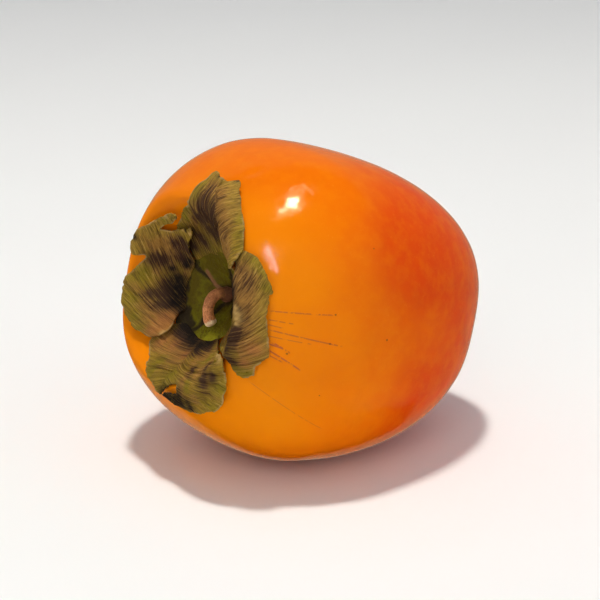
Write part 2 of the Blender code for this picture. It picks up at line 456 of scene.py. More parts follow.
def skin_material(props):
    """Waxy skin: yellower round the calyx, redder towards the blossom end."""
    skin = Finish("persimmon_skin")
    place = skin.in_fruit()
    up, back, along = skin.split(place)
    bearing = (back * -1).maths("ARCTAN2", up)
    reach = diagonal(up, back)

    broad = skin.noise(place, 0.035, detail=2.0)
    patchy = along + (broad - 0.5) * 34 - up * 0.30 - back * 0.15 - 2.0
    for patch_up, patch_back, patch_along, radius, redder in PATCHES:
        away = skin.node("VectorMath", {"operation": "DISTANCE"},
                         [place, (patch_up, patch_back, patch_along)], output="Value")
        patchy = patchy - skin.ramp(away, radius, 0.0) * redder
    mottle = skin.noise(place, 0.28, detail=4.0, roughness=0.6)
    pores = skin.noise(place, 2.1, detail=2.0)
    scratched = scratch_marks(skin, place, bearing, reach, along)
    # Darker ring round the foot of the style tip
    at_tip = skin.ramp(reach, 3.2, 0.9) * skin.ramp(along, -40.0, -50.0)
    colour = skin.layered(
        props.shoulder_colour,
        (skin.ramp(patchy, 26.0, 0.0), props.skin_colour),
        (skin.ramp(patchy, 2.0, -30.0), props.blossom_colour),
        (skin.ramp(mottle, 0.35, 0.75) * 0.22, props.shoulder_colour),
        (skin.ramp(pores, 0.62, 0.8) * 0.14, PORE_COLOUR),
        (scratched, SCRATCH_COLOUR),
        (speck_marks(skin, bearing, reach, along) * 0.85, SPECK_COLOUR),
        (at_tip * 0.85, TIP_RING_DARK))

    waves = skin.noise(place, 0.24, detail=2.0, roughness=0.45)
    grain = skin.noise(place, 2.4, detail=2.0)
    worn = skin.noise(place, 0.12, detail=5.0, roughness=0.65)
    gloss = skin.ramp(worn, 0.3, 0.75) * 0.08 + 0.07 + scratched * 0.25
    return skin.set(Base_Color=colour, Roughness=gloss, Specular_IOR_Level=0.11,
                    Normal=skin.bump(waves * 0.95 + grain * 0.07, 0.15))


class PERSIMMON_OT_fruit(bpy.types.Operator):
    """Model the fruit, with the flat spot that it rests on, and paint its skin"""
    bl_idname = "persimmon.fruit"
    bl_label = "Fruit"

    def execute(self, context):
        obj = shaped_ball(340, 240, fruit_shape)
        bpy.ops.object.mode_set(mode="EDIT")
        bpy.ops.mesh.select_all(action="SELECT")
        bpy.ops.mesh.bisect(plane_co=(0, 0, 0), plane_no=(0, 0, 1), use_fill=True,
                            clear_inner=True, threshold=0.001 * MM)
        bpy.ops.object.mode_set(mode="OBJECT")
        finish_piece(obj, "fruit_skin", skin_material(context.scene.persimmon_fruit),
                     "fruit")
        return {"FINISHED"}


# ---------------------------------------------------------------- sepals
SHEET_STEP = 0.22               # spacing of the sepals' mesh
MARGIN_FROM = 13.0              # reach past which a sepal's outline is its free margin
# The margin's raggedness: how far it moves in and out, over which lengths, and the
# reach at which it is at its full size
RAGGED = 0.16
RAGGED_LENGTHS = (1.1, 3.0)
RAGGED_REACH = 18.0
# The ribs: their height and how close they are, across the fan and along it. They lie
# on broad waves, whose closeness is a share of theirs
RIB_HEIGHT = 0.34
RIBS_ACROSS = 1.6
RIBS_ALONG = 0.22
WAVE_HEIGHT = 0.55
WAVE_SHARE = 0.30
# The crinkles of the margin: their height, how far apart they are and how far they
# reach in from the edge
CRINKLE_HEIGHT = 0.34
CRINKLE_APART = 2.0
CRINKLE_DEPTH = 1.8
FLAT_REACH = 11.0               # ribs and crinkles grow from here
GROWN_OVER = 5.0
LOWEST_LIFT = 0.02
FOLD_SOFTNESS = 0.5             # how wide the turn from one side of a crest to the other is
FOLD_LIT_TAN = 0.9                  # how much tanner a sepal is painted past its crest, as painted light, 0 to 1
FOLD_LIT_LESS_PURPLE = 0.6          # and how much less purple, as painted light there
# Near black, for charring and also for painted shade where the black tints lie
CHAR_AND_SHADE_COLOUR = (0.012, 0.009, 0.009)
PALE_COLOUR = (0.62, 0.40, 0.13)
EDGE_COLOUR = (0.55, 0.36, 0.14)

# Each sepal's free outline (bearing, reach), the lifts it is pinned at (bearing,
# reach, lift), the hearts its ribs fan out from (bearing, reach, and how far out
# they stop spreading), the crest it folds over and past which it is painted lighter,
# and its tints (bearing, reach, size); the purple and black ones are partly its own
# staining and charring and partly painted shade in its troughs and along its base.
# Past a crest the ribs fan out from the second heart.
SEPALS = {
    "upper": dict(
        outline=[
            (309, 10.6), (317, 13.5), (322, 16.9), (333, 17.9), (345, 19.2), (356, 20.8),
            (357, 22.4), (359, 24.2), (360, 25.6), (1, 26.1), (5, 25.7), (8, 25.3), (12, 25.4),
            (15, 25.9), (17.5, 26.9), (20, 26.8), (21.5, 26.2), (28, 25.6), (35, 24.9), (42, 24.5),
            (48, 24.1), (55, 23.2), (59, 21.7), (59.5, 19.8), (56, 17.5), (51, 14.0), (46, 11.0),
            (30, 9.7), (8, 9.3), (345, 9.5), (325, 9.9)],
        pins=[
            (312, 11.0, 0.2), (330, 11.5, 0.2), (0, 11.0, 0.1), (25, 10.5, 0.1), (44, 11.2, 0.6),
            (322, 16.5, 0.5), (333, 17.8, 0.6), (345, 19.0, 0.7), (356, 20.8, 0.7),
            (360, 25.4, 1.1), (335, 14.5, 0.1), (350, 15.5, 0.1), (8, 16.5, 0.1), (24, 15.5, 0.1),
            (2, 20.5, 0.3), (14, 19.5, 0.2), (5, 23.5, 0.5), (24, 18.5, 0.5), (9, 24.8, 1.2),
            (14, 23.4, 1.6), (22, 22.5, 1.8), (29, 21.9, 1.9), (33, 20.6, 1.9), (37, 18.4, 1.9),
            (39, 15.8, 1.8), (39, 13.2, 1.2), (17, 26.7, 1.3), (27, 25.6, 0.6), (42, 24.4, 0.6),
            (34, 23.2, 1.3), (54, 23.2, 0.9), (59, 21.3, 1.6), (58, 19.0, 2.0), (50, 14.5, 1.4),
            (47, 19.0, 1.9)],
        hearts=[(10, 5.0, 22.0), (262, 19.0, 36.0)],
        crest=[(36, 9.0), (38, 13.4), (37, 17.0), (33, 20.6), (24, 22.5), (14, 23.4), (9, 26.5)],
        stains_and_shade=dict(
            purple=[
                (359, 17.4, 2.4), (12, 19.1, 3.1), (5, 16.0, 3.0), (340, 12.8, 2.3),
                (9, 21.4, 2.1), (30, 20.5, 2.5), (29, 25.3, 1.1), (320, 12.9, 2.0),
                (23, 21.8, 1.7), (22, 17.0, 3.4), (30, 15.0, 2.0)],
            tan=[(8, 24.5, 1.7), (17, 25.4, 1.5), (33, 21.8, 2.0), (34, 24.8, 1.6)],
            green=[
                (12, 12.0, 3.2), (30, 11.8, 3.0), (350, 11.0, 2.0), (332, 9.6, 2.3),
                (341, 18.1, 1.6), (350, 19.8, 1.4), (359, 22.6, 1.5), (38, 24.6, 1.4),
                (46, 23.9, 1.4), (357, 24.2, 1.2), (28, 10.6, 2.2), (52, 22.9, 1.0),
                (57, 20.5, 1.0)],
            black=[(6.5, 25.6, 0.6), (17.5, 26.8, 0.5)]
        ),
    ),
    "front": dict(
        outline=[
            (54, 12.0), (56, 16.0), (56, 20.0), (54.5, 22.6), (55, 23.8), (59, 24.9), (66, 25.7),
            (73, 26.1), (75.5, 26.1), (76.5, 25.6), (82, 25.5), (87, 25.5), (92, 25.8), (97, 26.4),
            (102, 27.0), (105, 27.1), (107, 26.6), (110, 26.2), (112, 26.4), (114, 26.8),
            (117, 26.2), (118.5, 25.1), (117, 24.0), (115, 22.5), (117.5, 20.0), (123.5, 18.0),
            (131.5, 15.0), (140, 12.5), (134, 10.7), (115, 10.3), (95, 10.2), (75, 10.2),
            (60, 10.5)],
        pins=[
            (60, 11.0, 0.1), (80, 10.8, 0.1), (100, 10.8, 0.1), (120, 11.0, 0.1), (60, 16.0, 0.2),
            (75, 16.0, 0.1), (90, 16.0, 0.1), (105, 16.0, 0.1), (118, 17.5, 0.02),
            (128, 15.0, 0.02), (136, 12.5, 0.02), (80, 19.4, 0.2), (90, 20.2, 0.2),
            (98, 20.4, 0.2), (106, 20.6, 0.2), (60, 20.5, 0.4), (68, 20.7, 1.0), (77, 21.4, 1.4),
            (84, 22.0, 1.5), (90, 22.5, 1.5), (98, 22.5, 1.6), (105, 22.8, 1.7), (108, 24.0, 1.6),
            (111, 25.2, 1.3), (113, 21.0, 0.2), (115, 23.0, 0.3), (117, 25.0, 0.3),
            (115, 26.6, 0.5), (56, 23.6, 0.5), (66, 25.6, 0.6), (76, 25.7, 0.6), (90, 25.6, 0.6),
            (102, 26.8, 0.8), (108, 26.4, 1.0)],
        hearts=[(92, 12.5, 16.0), (92, 12.5, 16.0)],
        crest=[
            (113, 26.5), (111, 25.2), (108, 24.0), (105, 22.8), (98, 22.5), (90, 22.4), (84, 22.0),
            (77, 21.4), (68, 20.7), (60, 20.4), (52, 20.0)],
        stains_and_shade=dict(
            purple=[
                (66, 22.3, 2.1), (61, 20.9, 1.8), (73, 22.5, 2.0), (101, 21.9, 1.6),
                (96, 22.0, 1.4), (89, 22.7, 1.2), (103, 20.7, 1.7), (84, 22.3, 1.2),
                (72, 18.0, 3.2), (66, 14.0, 4.0), (112, 17.5, 1.9), (110, 20.6, 1.5),
                (113, 23.0, 1.2), (103, 20.6, 1.8)],
            tan=[(69, 24.0, 1.6), (82, 24.0, 2.0), (96, 23.7, 2.0), (90, 24.5, 1.5)],
            green=[
                (65, 25.7, 1.6), (73, 25.4, 1.3), (60, 24.9, 1.3), (114, 26.0, 1.3),
                (115, 24.9, 1.2), (97, 19.0, 2.2), (92, 16.0, 2.6)],
            rust=[(102, 24.9, 1.5), (110, 24.7, 1.0)],
            pale=[(84, 21.2, 0.5), (87, 21.4, 0.6), (90, 21.5, 0.6), (93, 21.6, 0.4)],
            black=[(66, 17.5, 2.6), (72, 19.6, 1.6), (79, 20.3, 0.9), (61, 19.5, 1.5)]
        ),
    ),
    "lower": dict(
        outline=[
            (148, 10.8), (142, 12.6), (135, 15.2), (124, 18.6), (117, 21.0), (117.5, 22.5),
            (122, 23.6), (126, 24.5), (131, 25.4), (136, 26.2), (142, 26.3), (147, 25.7),
            (152, 25.3), (156, 24.8), (161, 24.1), (167, 24.0), (173, 23.5), (177, 22.5),
            (178, 21.9), (174, 21.5), (169, 21.7), (164, 21.7), (162.5, 21.0), (164, 20.4),
            (168, 20.2), (172, 20.3), (175, 20.8), (178, 21.5), (180.5, 22.1), (183, 21.7),
            (188, 21.2), (194, 21.1), (199, 20.7), (203, 20.0), (207, 19.4), (215, 18.8),
            (221, 18.0), (225, 15.5), (224, 12.5), (218, 11.0), (200, 10.6), (180, 10.6),
            (162, 10.6)],
        pins=[
            (148, 11.5, 0.4), (165, 11.2, 0.1), (185, 11.2, 0.1), (205, 11.2, 0.1),
            (137, 15.5, 0.65), (119, 20.5, 0.85), (119, 22.8, 0.9), (126, 24.4, 0.9),
            (133, 21.5, 1.5), (140, 23.8, 1.8), (142, 18.5, 1.3), (148, 15.0, 0.7),
            (136, 26.0, 1.0), (147, 25.4, 1.2), (155, 22.6, 1.5), (160, 19.4, 1.5),
            (164, 16.6, 1.0), (167, 14.0, 0.6), (163, 21.0, 1.1), (163, 23.5, 0.6),
            (172, 22.8, 0.4), (177, 22.0, 0.4), (182, 12.6, 0.1), (186, 14.5, 0.2),
            (180, 16.9, 0.3), (175, 19.0, 0.4), (192, 16.0, 1.0), (197, 18.2, 1.3),
            (185, 20.0, 1.2), (205, 15.0, 0.3), (181, 21.8, 0.7), (190, 21.1, 0.8),
            (201, 20.4, 0.6), (214, 18.4, 0.2), (221, 15.0, 0.1)],
        hearts=[(165, 2.0, 22.0)],
        stains_and_shade=dict(
            purple=[
                (135, 22.1, 1.5), (128, 22.5, 1.0), (152, 18.6, 1.2), (195, 10.9, 3.0),
                (213, 12.1, 2.0), (133, 20.3, 0.9), (156, 12.2, 1.9), (170, 12.4, 2.0)],
            black=[
                (161, 22.6, 1.8), (154, 23.8, 1.2), (167, 22.9, 1.8), (173, 22.4, 1.7),
                (177, 21.9, 1.3), (174, 11.8, 1.5), (186, 11.8, 1.5), (197, 11.2, 1.5),
                (208, 11.0, 1.6), (218, 11.6, 1.6), (163, 11.2, 1.5)],
            tan=[(150, 14.5, 1.8), (188, 16.4, 1.6), (140, 19.5, 1.6)],
            green=[
                (143, 16.7, 1.9), (129, 24.4, 1.7), (141, 25.1, 2.0), (194, 19.8, 2.0),
                (177, 19.0, 2.0), (194, 17.7, 1.3), (150, 21.5, 1.3), (124, 20.5, 1.2)],
            pale=[(118, 21.2, 0.7), (121, 19.8, 0.6), (126, 18.0, 0.6)],
            rust=[(139, 13.6, 0.9), (202, 14.5, 2.1), (214, 16.3, 1.7), (183, 14.3, 1.3)]
        ),
    ),
    "back": dict(
        outline=[
            (309, 10.4), (318, 12.4), (329, 13.7), (342, 14.7), (347, 15.4), (344, 16.0),
            (334, 16.1), (324, 16.7), (317, 17.2), (312, 18.1), (310.5, 18.7), (315, 18.7),
            (321, 18.4), (328, 18.2), (335, 18.5), (336, 18.9), (333, 19.5), (326, 19.8),
            (317, 20.2), (309, 20.6), (304, 21.0), (297, 21.6), (290, 21.4), (285, 20.9),
            (282.5, 20.2), (283.5, 19.3), (285, 18.6), (283, 18.3), (277, 18.9), (268, 20.3),
            (260, 20.9), (250, 21.2), (241, 20.8), (233, 20.1), (227, 19.1), (222, 18.1),
            (219, 16.8), (218.5, 15.2), (220, 13.9), (226, 12.6), (232, 11.6), (236, 10.6),
            (250, 10.2), (270, 9.9), (290, 9.8)],
        pins=[
            (240, 10.6, 0.3), (258, 10.0, 0.2), (275, 9.8, 0.2), (295, 10.0, 0.3),
            (232, 11.9, 1.9), (224, 13.2, 1.7), (219.5, 15.4, 1.4), (222, 17.9, 1.1),
            (246, 12.3, 1.4), (260, 12.6, 1.2), (273, 14.0, 1.1), (284, 15.0, 0.8),
            (235, 16.0, 1.8), (250, 17.0, 1.5), (265, 17.0, 1.2), (233, 20.0, 0.8),
            (250, 21.0, 0.6), (268, 20.1, 0.6), (282, 18.6, 0.4), (296, 14.0, 0.8),
            (300, 17.5, 1.2), (290, 18.0, 0.8), (286, 20.8, 0.8), (297, 21.4, 0.9),
            (309, 20.8, 1.1), (320, 19.9, 1.5), (334, 19.1, 2.1), (312, 18.4, 1.1),
            (316, 15.5, 1.5), (326, 16.3, 1.9), (344, 15.6, 2.4), (329, 14.0, 2.1),
            (317, 12.6, 1.7), (309, 10.8, 1.2)],
        hearts=[(270, 1.0, 22.0)],
        stains_and_shade=dict(
            purple=[
                (256, 14.4, 1.7), (289, 15.3, 1.6), (310, 15.1, 1.3), (256, 16.3, 1.2),
                (245, 13.3, 1.8), (317, 13.2, 1.7), (302, 12.5, 2.0), (285, 16.5, 1.7),
                (265, 12.6, 2.3), (246, 15.0, 1.1), (322, 14.4, 1.3)],
            tan=[
                (316, 16.6, 2.4), (305, 17.2, 3.0), (299, 20.0, 1.9), (290, 19.6, 1.4),
                (241, 16.9, 2.0), (253, 17.8, 1.3), (336, 15.6, 1.0)],
            pale=[(342, 15.1, 0.5), (333, 16.4, 0.5), (326, 19.9, 0.6), (218.5, 15.6, 0.6)],
            rust=[(230, 14.1, 2.4), (231, 12.6, 1.5), (225, 17.0, 1.7), (224, 15.7, 2.0)],
            green=[
                (253, 19.3, 1.9), (268, 18.0, 1.9), (240, 19.3, 1.5), (231, 19.0, 1.3),
                (322, 19.4, 1.0), (274, 17.6, 1.3)],
            black=[
                (276, 11.6, 1.6), (256, 11.0, 1.6), (234, 11.0, 1.4), (284, 13.2, 1.0),
                (295, 11.2, 1.1), (246, 11.6, 1.6), (266, 11.4, 1.5), (304, 11.2, 0.9),
                (293, 21.5, 0.8), (338, 15.9, 0.4)]
        ),
    ),
}


def pinned_sheet(pins):
    """A function of plan points: the smoothest sheet through the pinned lifts."""
    places = np.array([on_plan(bearing, reach) for bearing, reach, _ in pins])
    lifts = np.array([lift for _, _, lift in pins])
    count = len(pins)

    def pull(distance_squared):
        return distance_squared * np.log(distance_squared + 1e-9)

    def terms(spots):
        apart = ((spots[:, None] - places[None]) ** 2).sum(-1)
        return pull(apart), np.column_stack([np.ones(len(spots)), spots])

    pulls, flat = terms(places)
    system = np.block([[pulls, flat], [flat.T, np.zeros((3, 3))]])
    answer = np.linalg.solve(system, np.concatenate([lifts, np.zeros(3)]))

    def lift_at(spots):
        pulls, flat = terms(spots)
        return pulls @ answer[:count] + flat @ answer[count:]

    return lift_at


def smooth_outline(points):
    """A closed curve through the outline's points, cut into even short steps."""
    corners = [on_plan(*point) for point in points]
    curve = []
    for k in range(len(corners)):
        a, b, c, d = (corners[(k + j) % len(corners)] for j in (-1, 0, 1, 2))
        cuts = max(1, round((c - b).length / SHEET_STEP))
        curve += [curve_point(a, b, c, d, cut / cuts) for cut in range(cuts)]
    return curve


def ragged_margin(outline):
    """A smooth outline, moved in and out a little as a dried margin is."""
    ragged = []
    for k, spot in enumerate(outline):
        run = (outline[(k + 1) % len(outline)] - outline[k - 1]).normalized()
        place = Vector((spot.x, spot.y, 5.0))
        shift = sum(RAGGED * ripple(place, length) for length in RAGGED_LENGTHS)
        outwards = Vector((run.y, -run.x))
        ragged.append(spot + outwards * shift * min(1.0, spot.length / RAGGED_REACH))
    return ragged


def rows_inside(outline):
    """Points in even rows, as in a honeycomb, that lie inside a closed outline."""
    low = Vector((min(p.x for p in outline), min(p.y for p in outline)))
    high = Vector((max(p.x for p in outline), max(p.y for p in outline)))
    ring = np.array(outline)
    following = np.roll(ring, -1, axis=0)
    row_step = SHEET_STEP * 0.866
    inside = []
    for row in range(int((high.y - low.y) / row_step) + 1):
        y = low.y + row * row_step
        crossing = (ring[:, 1] > y) != (following[:, 1] > y)
        starts = ring[crossing]
        ends = following[crossing]
        run = ends[:, 0] - starts[:, 0]
        xs = starts[:, 0] + (y - starts[:, 1]) * run / (ends[:, 1] - starts[:, 1])
        xs.sort()
        left = low.x + 0.5 * SHEET_STEP * (row % 2)
        for enter, leave in zip(xs[::2], xs[1::2]):
            first = int((enter - left) / SHEET_STEP) + 1
            last = int((leave - left) / SHEET_STEP)
            inside += [(left + column * SHEET_STEP, y) for column in range(first, last + 1)]
    inside = np.array(inside)
    gaps = ((inside[:, None] - ring[None]) ** 2).sum(-1).min(axis=1)
    return inside[gaps > (0.55 * SHEET_STEP) ** 2]


def filled_outline(outline):
    """Points and triangles that fill a closed plan outline evenly."""
    points = outline + [Vector(spot) for spot in rows_inside(outline)]
    rim = list(range(len(outline)))
    filled = delaunay_2d_cdt(points, [], [rim], 1, 1e-5)
    return filled[0], filled[2]


def sepal_material(props):
    """Dried sepal: olive and tan, streaked along its ribs, with staining and painted shade towards
    its base, painted light past its crests.
    """
    leaf = Finish("dried_sepal")
    place = leaf.in_fruit()
    fan = leaf.attribute("fan")
    out = leaf.attribute("out")
    edge = leaf.attribute("edge")
    purple = leaf.attribute("purple")
    black = leaf.attribute("black")
    ribs = leaf.noise(leaf.vector(fan * 2.9, out * 0.30, 3.0), 1.0, roughness=0.6)
    fibres = leaf.noise(leaf.vector(fan * 6.5, out * 0.8, 11.0), 1.0, roughness=0.6)
    broad = leaf.noise(leaf.vector(fan * 0.45, out * 0.16, 7.0), 1.0)
    cloudy = leaf.noise(place, 0.22, detail=4.0)
    speckle = leaf.noise(place, 1.5, detail=4.0, roughness=0.7)

    # The tan tint holds real tan staining and also the painted light past a crest
    dry = cloudy + (broad - 0.5) * 0.7 + leaf.attribute("tan") * 0.35
    near_margin = leaf.ramp(edge + (cloudy - 0.5) * 5.0 + (ribs - 0.5) * 2.0, 3.0, 0.2)
    # Partly painted shade: purple stands for staining and also for shade in troughs and at the
    # base
    stained_and_shaded = purple * ((ribs - 0.5) * 3.8 + (speckle - 0.5) * 0.8 + 1.25)
    streaks = leaf.ramp(ribs + (broad - 0.5) * 0.35 + purple * 0.05, 0.51, 0.60)
    streaks = streaks * (purple * 0.5 + 0.58 - near_margin * 0.25).clamped()
    pale_ribs = leaf.ramp(ribs, 0.45, 0.36) * leaf.ramp(fibres, 0.55, 0.42)
    # Partly painted shade: the black tints darken the hollows and the base by the disc as well as
    # charred spots
    charred_and_shaded = black * ((speckle - 0.5) + (ribs - 0.5) * 2.4 + 1.15)
    bare_edge = leaf.ramp(edge, 0.40, 0.10) * leaf.ramp(cloudy, 0.45, 0.6)
    colour = leaf.layered(
        props.olive_colour,
        (leaf.ramp(dry, 0.42, 0.62), props.tan_colour),
        (near_margin * 0.7, props.margin_colour),
        (leaf.attribute("green").clamped() * 0.75, props.green_colour),
        (leaf.attribute("rust").clamped() * 0.9, props.rust_colour),
        (stained_and_shaded.clamped() * 0.92, props.purple_and_shade_colour),
        (streaks, props.streak_colour),
        (leaf.ramp(fibres, 0.50, 0.64) * 0.52, props.streak_colour),
        (pale_ribs * (0.62 - purple * 0.55), props.rib_colour),
        (charred_and_shaded.clamped() * 0.96, CHAR_AND_SHADE_COLOUR),
        (leaf.attribute("pale").clamped() * 0.85, PALE_COLOUR),
        (bare_edge * (1 - black).clamped() * 0.55, EDGE_COLOUR))
    return leaf.set(Base_Color=colour, Roughness=speckle * 0.2 + 0.55,
                    Specular_IOR_Level=0.06,
                    Normal=leaf.bump(ribs * 0.7 + fibres * 0.25 + speckle * 0.35, 0.46))


def beyond(spot, line):
    """How far a spot lies to the left of a line through several points."""
    ends = min(zip(line, line[1:]), key=lambda pair: (spot - (pair[0] + pair[1]) / 2).length)
    run = (ends[1] - ends[0]).normalized()
    away = spot - ends[0]
    return run.x * away.y - run.y * away.x


def fan_place(sepal, spot):
    """A spot's place across the fan of ribs and out along it, both in millimetres.

    The third number tells how far past the sepal's crest the spot is, 0 to 1.
    """
    folded = 0.0
    if "crest" in sepal:
        past = beyond(spot, [on_plan(*point) for point in sepal["crest"]])
        folded = clamped(past / FOLD_SOFTNESS + 0.5)
    bearing, reach, widest = sepal["hearts"][1 if folded > 0.5 else 0]
    away = spot - on_plan(bearing, reach)
    return atan2(away.y, away.x) * min(away.length, widest), away.length, folded


def ribbed_lift(spot, lift, edge, fan, out):
    """The lift of a sheet's spot, with its ribs and the crinkles of its margin."""
    place = Vector((fan * RIBS_ACROSS, out * RIBS_ALONG, 3.0))
    ribs = RIB_HEIGHT * noise.noise(place) + WAVE_HEIGHT * noise.noise(place * WAVE_SHARE)
    crinkle = CRINKLE_HEIGHT * ripple(spot.to_3d(), CRINKLE_APART) * exp(-edge / CRINKLE_DEPTH)
    grown = clamped((spot.length - FLAT_REACH) / GROWN_OVER)
    return max(lift + (ribs + crinkle) * grown, LOWEST_LIFT)


def tint_cover(sepal, tint, spots, folds):
    """How strongly each spot of a sepal has a tint, 0 to 1: staining, painted shade, and painted
    light past its crest.
    """
    # Painted light: past the crest the sepal is painted tanner
    cover = folds * (FOLD_LIT_TAN if tint == "tan" else 0.0)
    for bearing, reach, size in sepal["stains_and_shade"].get(tint, ()):
        gaps = ((spots - np.array(on_plan(bearing, reach))) ** 2).sum(-1)
        cover = 1 - (1 - cover) * (1 - np.exp(-gaps / size ** 2))
    # Painted light: past the crest it is painted less purple
    if tint == "purple":
        cover *= 1 - FOLD_LIT_LESS_PURPLE * folds
    return cover


def make_sepal(name, sepal, material, thickness):
    """One sepal: a thin sheet, pinned at its lifts and ribbed, with a ragged margin."""
    outline = ragged_margin(smooth_outline(sepal["outline"]))
    points, faces = filled_outline(outline)
    spots = np.array([tuple(point) for point in points])
    margin = np.array([tuple(point) for point in outline if point.length > MARGIN_FROM])
    edges = np.sqrt(((spots[:, None] - margin[None]) ** 2).sum(-1).min(axis=1))
    lifts = pinned_sheet(sepal["pins"])(spots)
    verts = []
    ribs = []
    for (x, y), lift, edge in zip(spots, lifts, edges):
        spot = Vector((x, y))
        fan, out, folded = fan_place(sepal, spot)
        lift = ribbed_lift(spot, lift, edge, fan, out)
        verts.append(lying(above_skin(spot.length, atan2(y, x), CLEARANCE + lift)))
        ribs.append((fan, out, folded))

    mesh = bpy.data.meshes.new(name)
    mesh.from_pydata([tuple(vert) for vert in verts], [], [tuple(face) for face in faces])
    fans, outs, folds = np.array(ribs).T
    for mark, numbers in (("fan", fans), ("out", outs), ("edge", edges)):
        paint(mesh, mark, numbers)
    for tint in ("purple", "tan", "green", "rust", "pale", "black"):
        paint(mesh, tint, tint_cover(sepal, tint, spots, folds))
    obj = bpy.data.objects.new(name, mesh)
    bpy.context.scene.collection.objects.link(obj)
    mesh.update()
    if sum(face.normal.dot(face.center - CENTRE * MM) for face in mesh.polygons) < 0:
        mesh.flip_normals()

    bpy.ops.object.select_all(action="DESELECT")
    obj.select_set(True)
    bpy.context.view_layer.objects.active = obj
    wall = obj.modifiers.new("wall", "SOLIDIFY")
    wall.thickness = thickness
    wall.offset = 1
    bpy.ops.object.modifier_apply(modifier=wall.name)
    finish_piece(obj, name + "_sepal", material, "sepal_" + name)


class PERSIMMON_OT_sepals(bpy.types.Operator):
    """Model the four dried sepals and paint them"""
    bl_idname = "persimmon.sepals"
    bl_label = "Sepals"

    def execute(self, context):
        props = context.scene.persimmon_calyx
        material = sepal_material(props)
        for name, sepal in SEPALS.items():
            make_sepal(name, sepal, material, props.sepal_thickness)
        return {"FINISHED"}


# ---------------------------------------------------------------- calyx disc
DISC_RADIUS = 10.6
CORNER_BEARING = 226.0          # the disc reaches further out between two sepals here
CORNER_REACH = 2.3
CORNER_SHARPNESS = 60
DISC_LIFT = 0.75                # of its top, where it is plain
LEAST_LIFT = 0.25
RIM_WIDTH = 1.2                 # over which its relief fades out at the rim
PAD_HEIGHT = 0.40
PAD_REACH = 9.5
CREASES = (22.0, 118.0, 204.0, 300.0)     # bearings of the creases between its pads
CREASE_DEPTH = 0.50
CREASE_WIDTH = 1.1
CREASE_FROM = 1.5               # the reach at which they begin; they are full at twice that
CREASE_WANDER = 0.16            # how far they stray from their bearings, in radians
SHADED_BEARING = 252.0          # the rim is painted dark, as shade, about this bearing
SHADED_REACH = 8.7
SHADED_OVER = 1.8
# The brown ridge on the disc, from the stem outwards: bearing, reach
RIDGE = [(290, 2.8), (298, 4.4), (304, 5.8), (310, 7.3)]
RIDGE_PLACES = [along_line([on_plan(*point) for point in RIDGE], k / 40) for k in range(41)]
RIDGE_HEIGHT = 0.80
RIDGE_WIDTH = 1.0
# Painted highlights, as yellower spots near the rim: bearing, reach, size
HIGHLIGHT_SPOTS = [(172, 10.0, 1.4), (158, 10.4, 1.3), (112, 9.6, 1.6)]
DISC_OLIVE = (0.165, 0.14, 0.005)
DISC_BROWN = (0.09, 0.065, 0.006)
# Painted highlight along the disc's lower edge
DISC_HIGHLIGHT_YELLOW = (0.36, 0.33, 0.015)
# Painted highlight colour of those spots
SPOT_HIGHLIGHT_YELLOW = (0.42, 0.38, 0.015)
RIDGE_COLOUR = (0.28, 0.13, 0.055)
FOOT_SHADE = (0.04, 0.016, 0.010)


def crease_depth(bearing, reach, spot):
    """How deep in a crease between the disc's pads a spot is, 0 to 1."""
    deepest = 0.0
    for crease in CREASES:
        turn = bearing - radians(crease) + CREASE_WANDER * ripple(spot, 2.6)
        if cos(turn) > 0:
            deepest = max(deepest, bell(sin(turn) * reach, CREASE_WIDTH))
    return deepest * clamped((reach - CREASE_FROM) / CREASE_FROM)


def disc_shape(unit):
    """A point of the disc, its painted highlight, how creased and painted with shade it is, and
    how near the ridge.
    """
    bearing = atan2(-unit.y, unit.x)
    corner = max(0.0, cos(bearing - radians(CORNER_BEARING))) ** CORNER_SHARPNESS
    rim = DISC_RADIUS + CORNER_REACH * corner
    reach = rim * sqrt(unit.x ** 2 + unit.y ** 2)
    spot = Vector((reach * cos(bearing), reach * sin(bearing)))
    place = Vector((*spot, 3.0))
    shaded = max(0.0, cos(bearing - radians(SHADED_BEARING))) ** 3
    past = clamped((reach - SHADED_REACH - ripple(spot.to_3d(), 1.8)) / SHADED_OVER)
    # Painted shade: the creases and the shaded rim are painted dark as well as pressed down
    crease_and_shade = max(crease_depth(bearing, reach, spot.to_3d()),
                  1.2 * min(1.0, 1.8 * shaded + corner) * past)
    ridged = bell(min((spot - near).length for near in RIDGE_PLACES), RIDGE_WIDTH)
    pads = PAD_HEIGHT * sin(pi * min(1.0, reach / PAD_REACH)) - CREASE_DEPTH * crease_and_shade
    rough = 0.22 * ripple(place, 2.4) + 0.06 * ripple(place, 0.8)
    relief = (RIDGE_HEIGHT * ridged + pads + rough) * min(1.0, (rim - reach) / RIM_WIDTH)
    top = 0.5 + 0.5 * unit.z
    lift = CLEARANCE + top * max(LEAST_LIFT, DISC_LIFT + relief)
    light = sum(bell((spot - on_plan(*at)).length, size) for *at, size in HIGHLIGHT_SPOTS)
    return above_skin(reach, bearing, lift), light, crease_and_shade, ridged


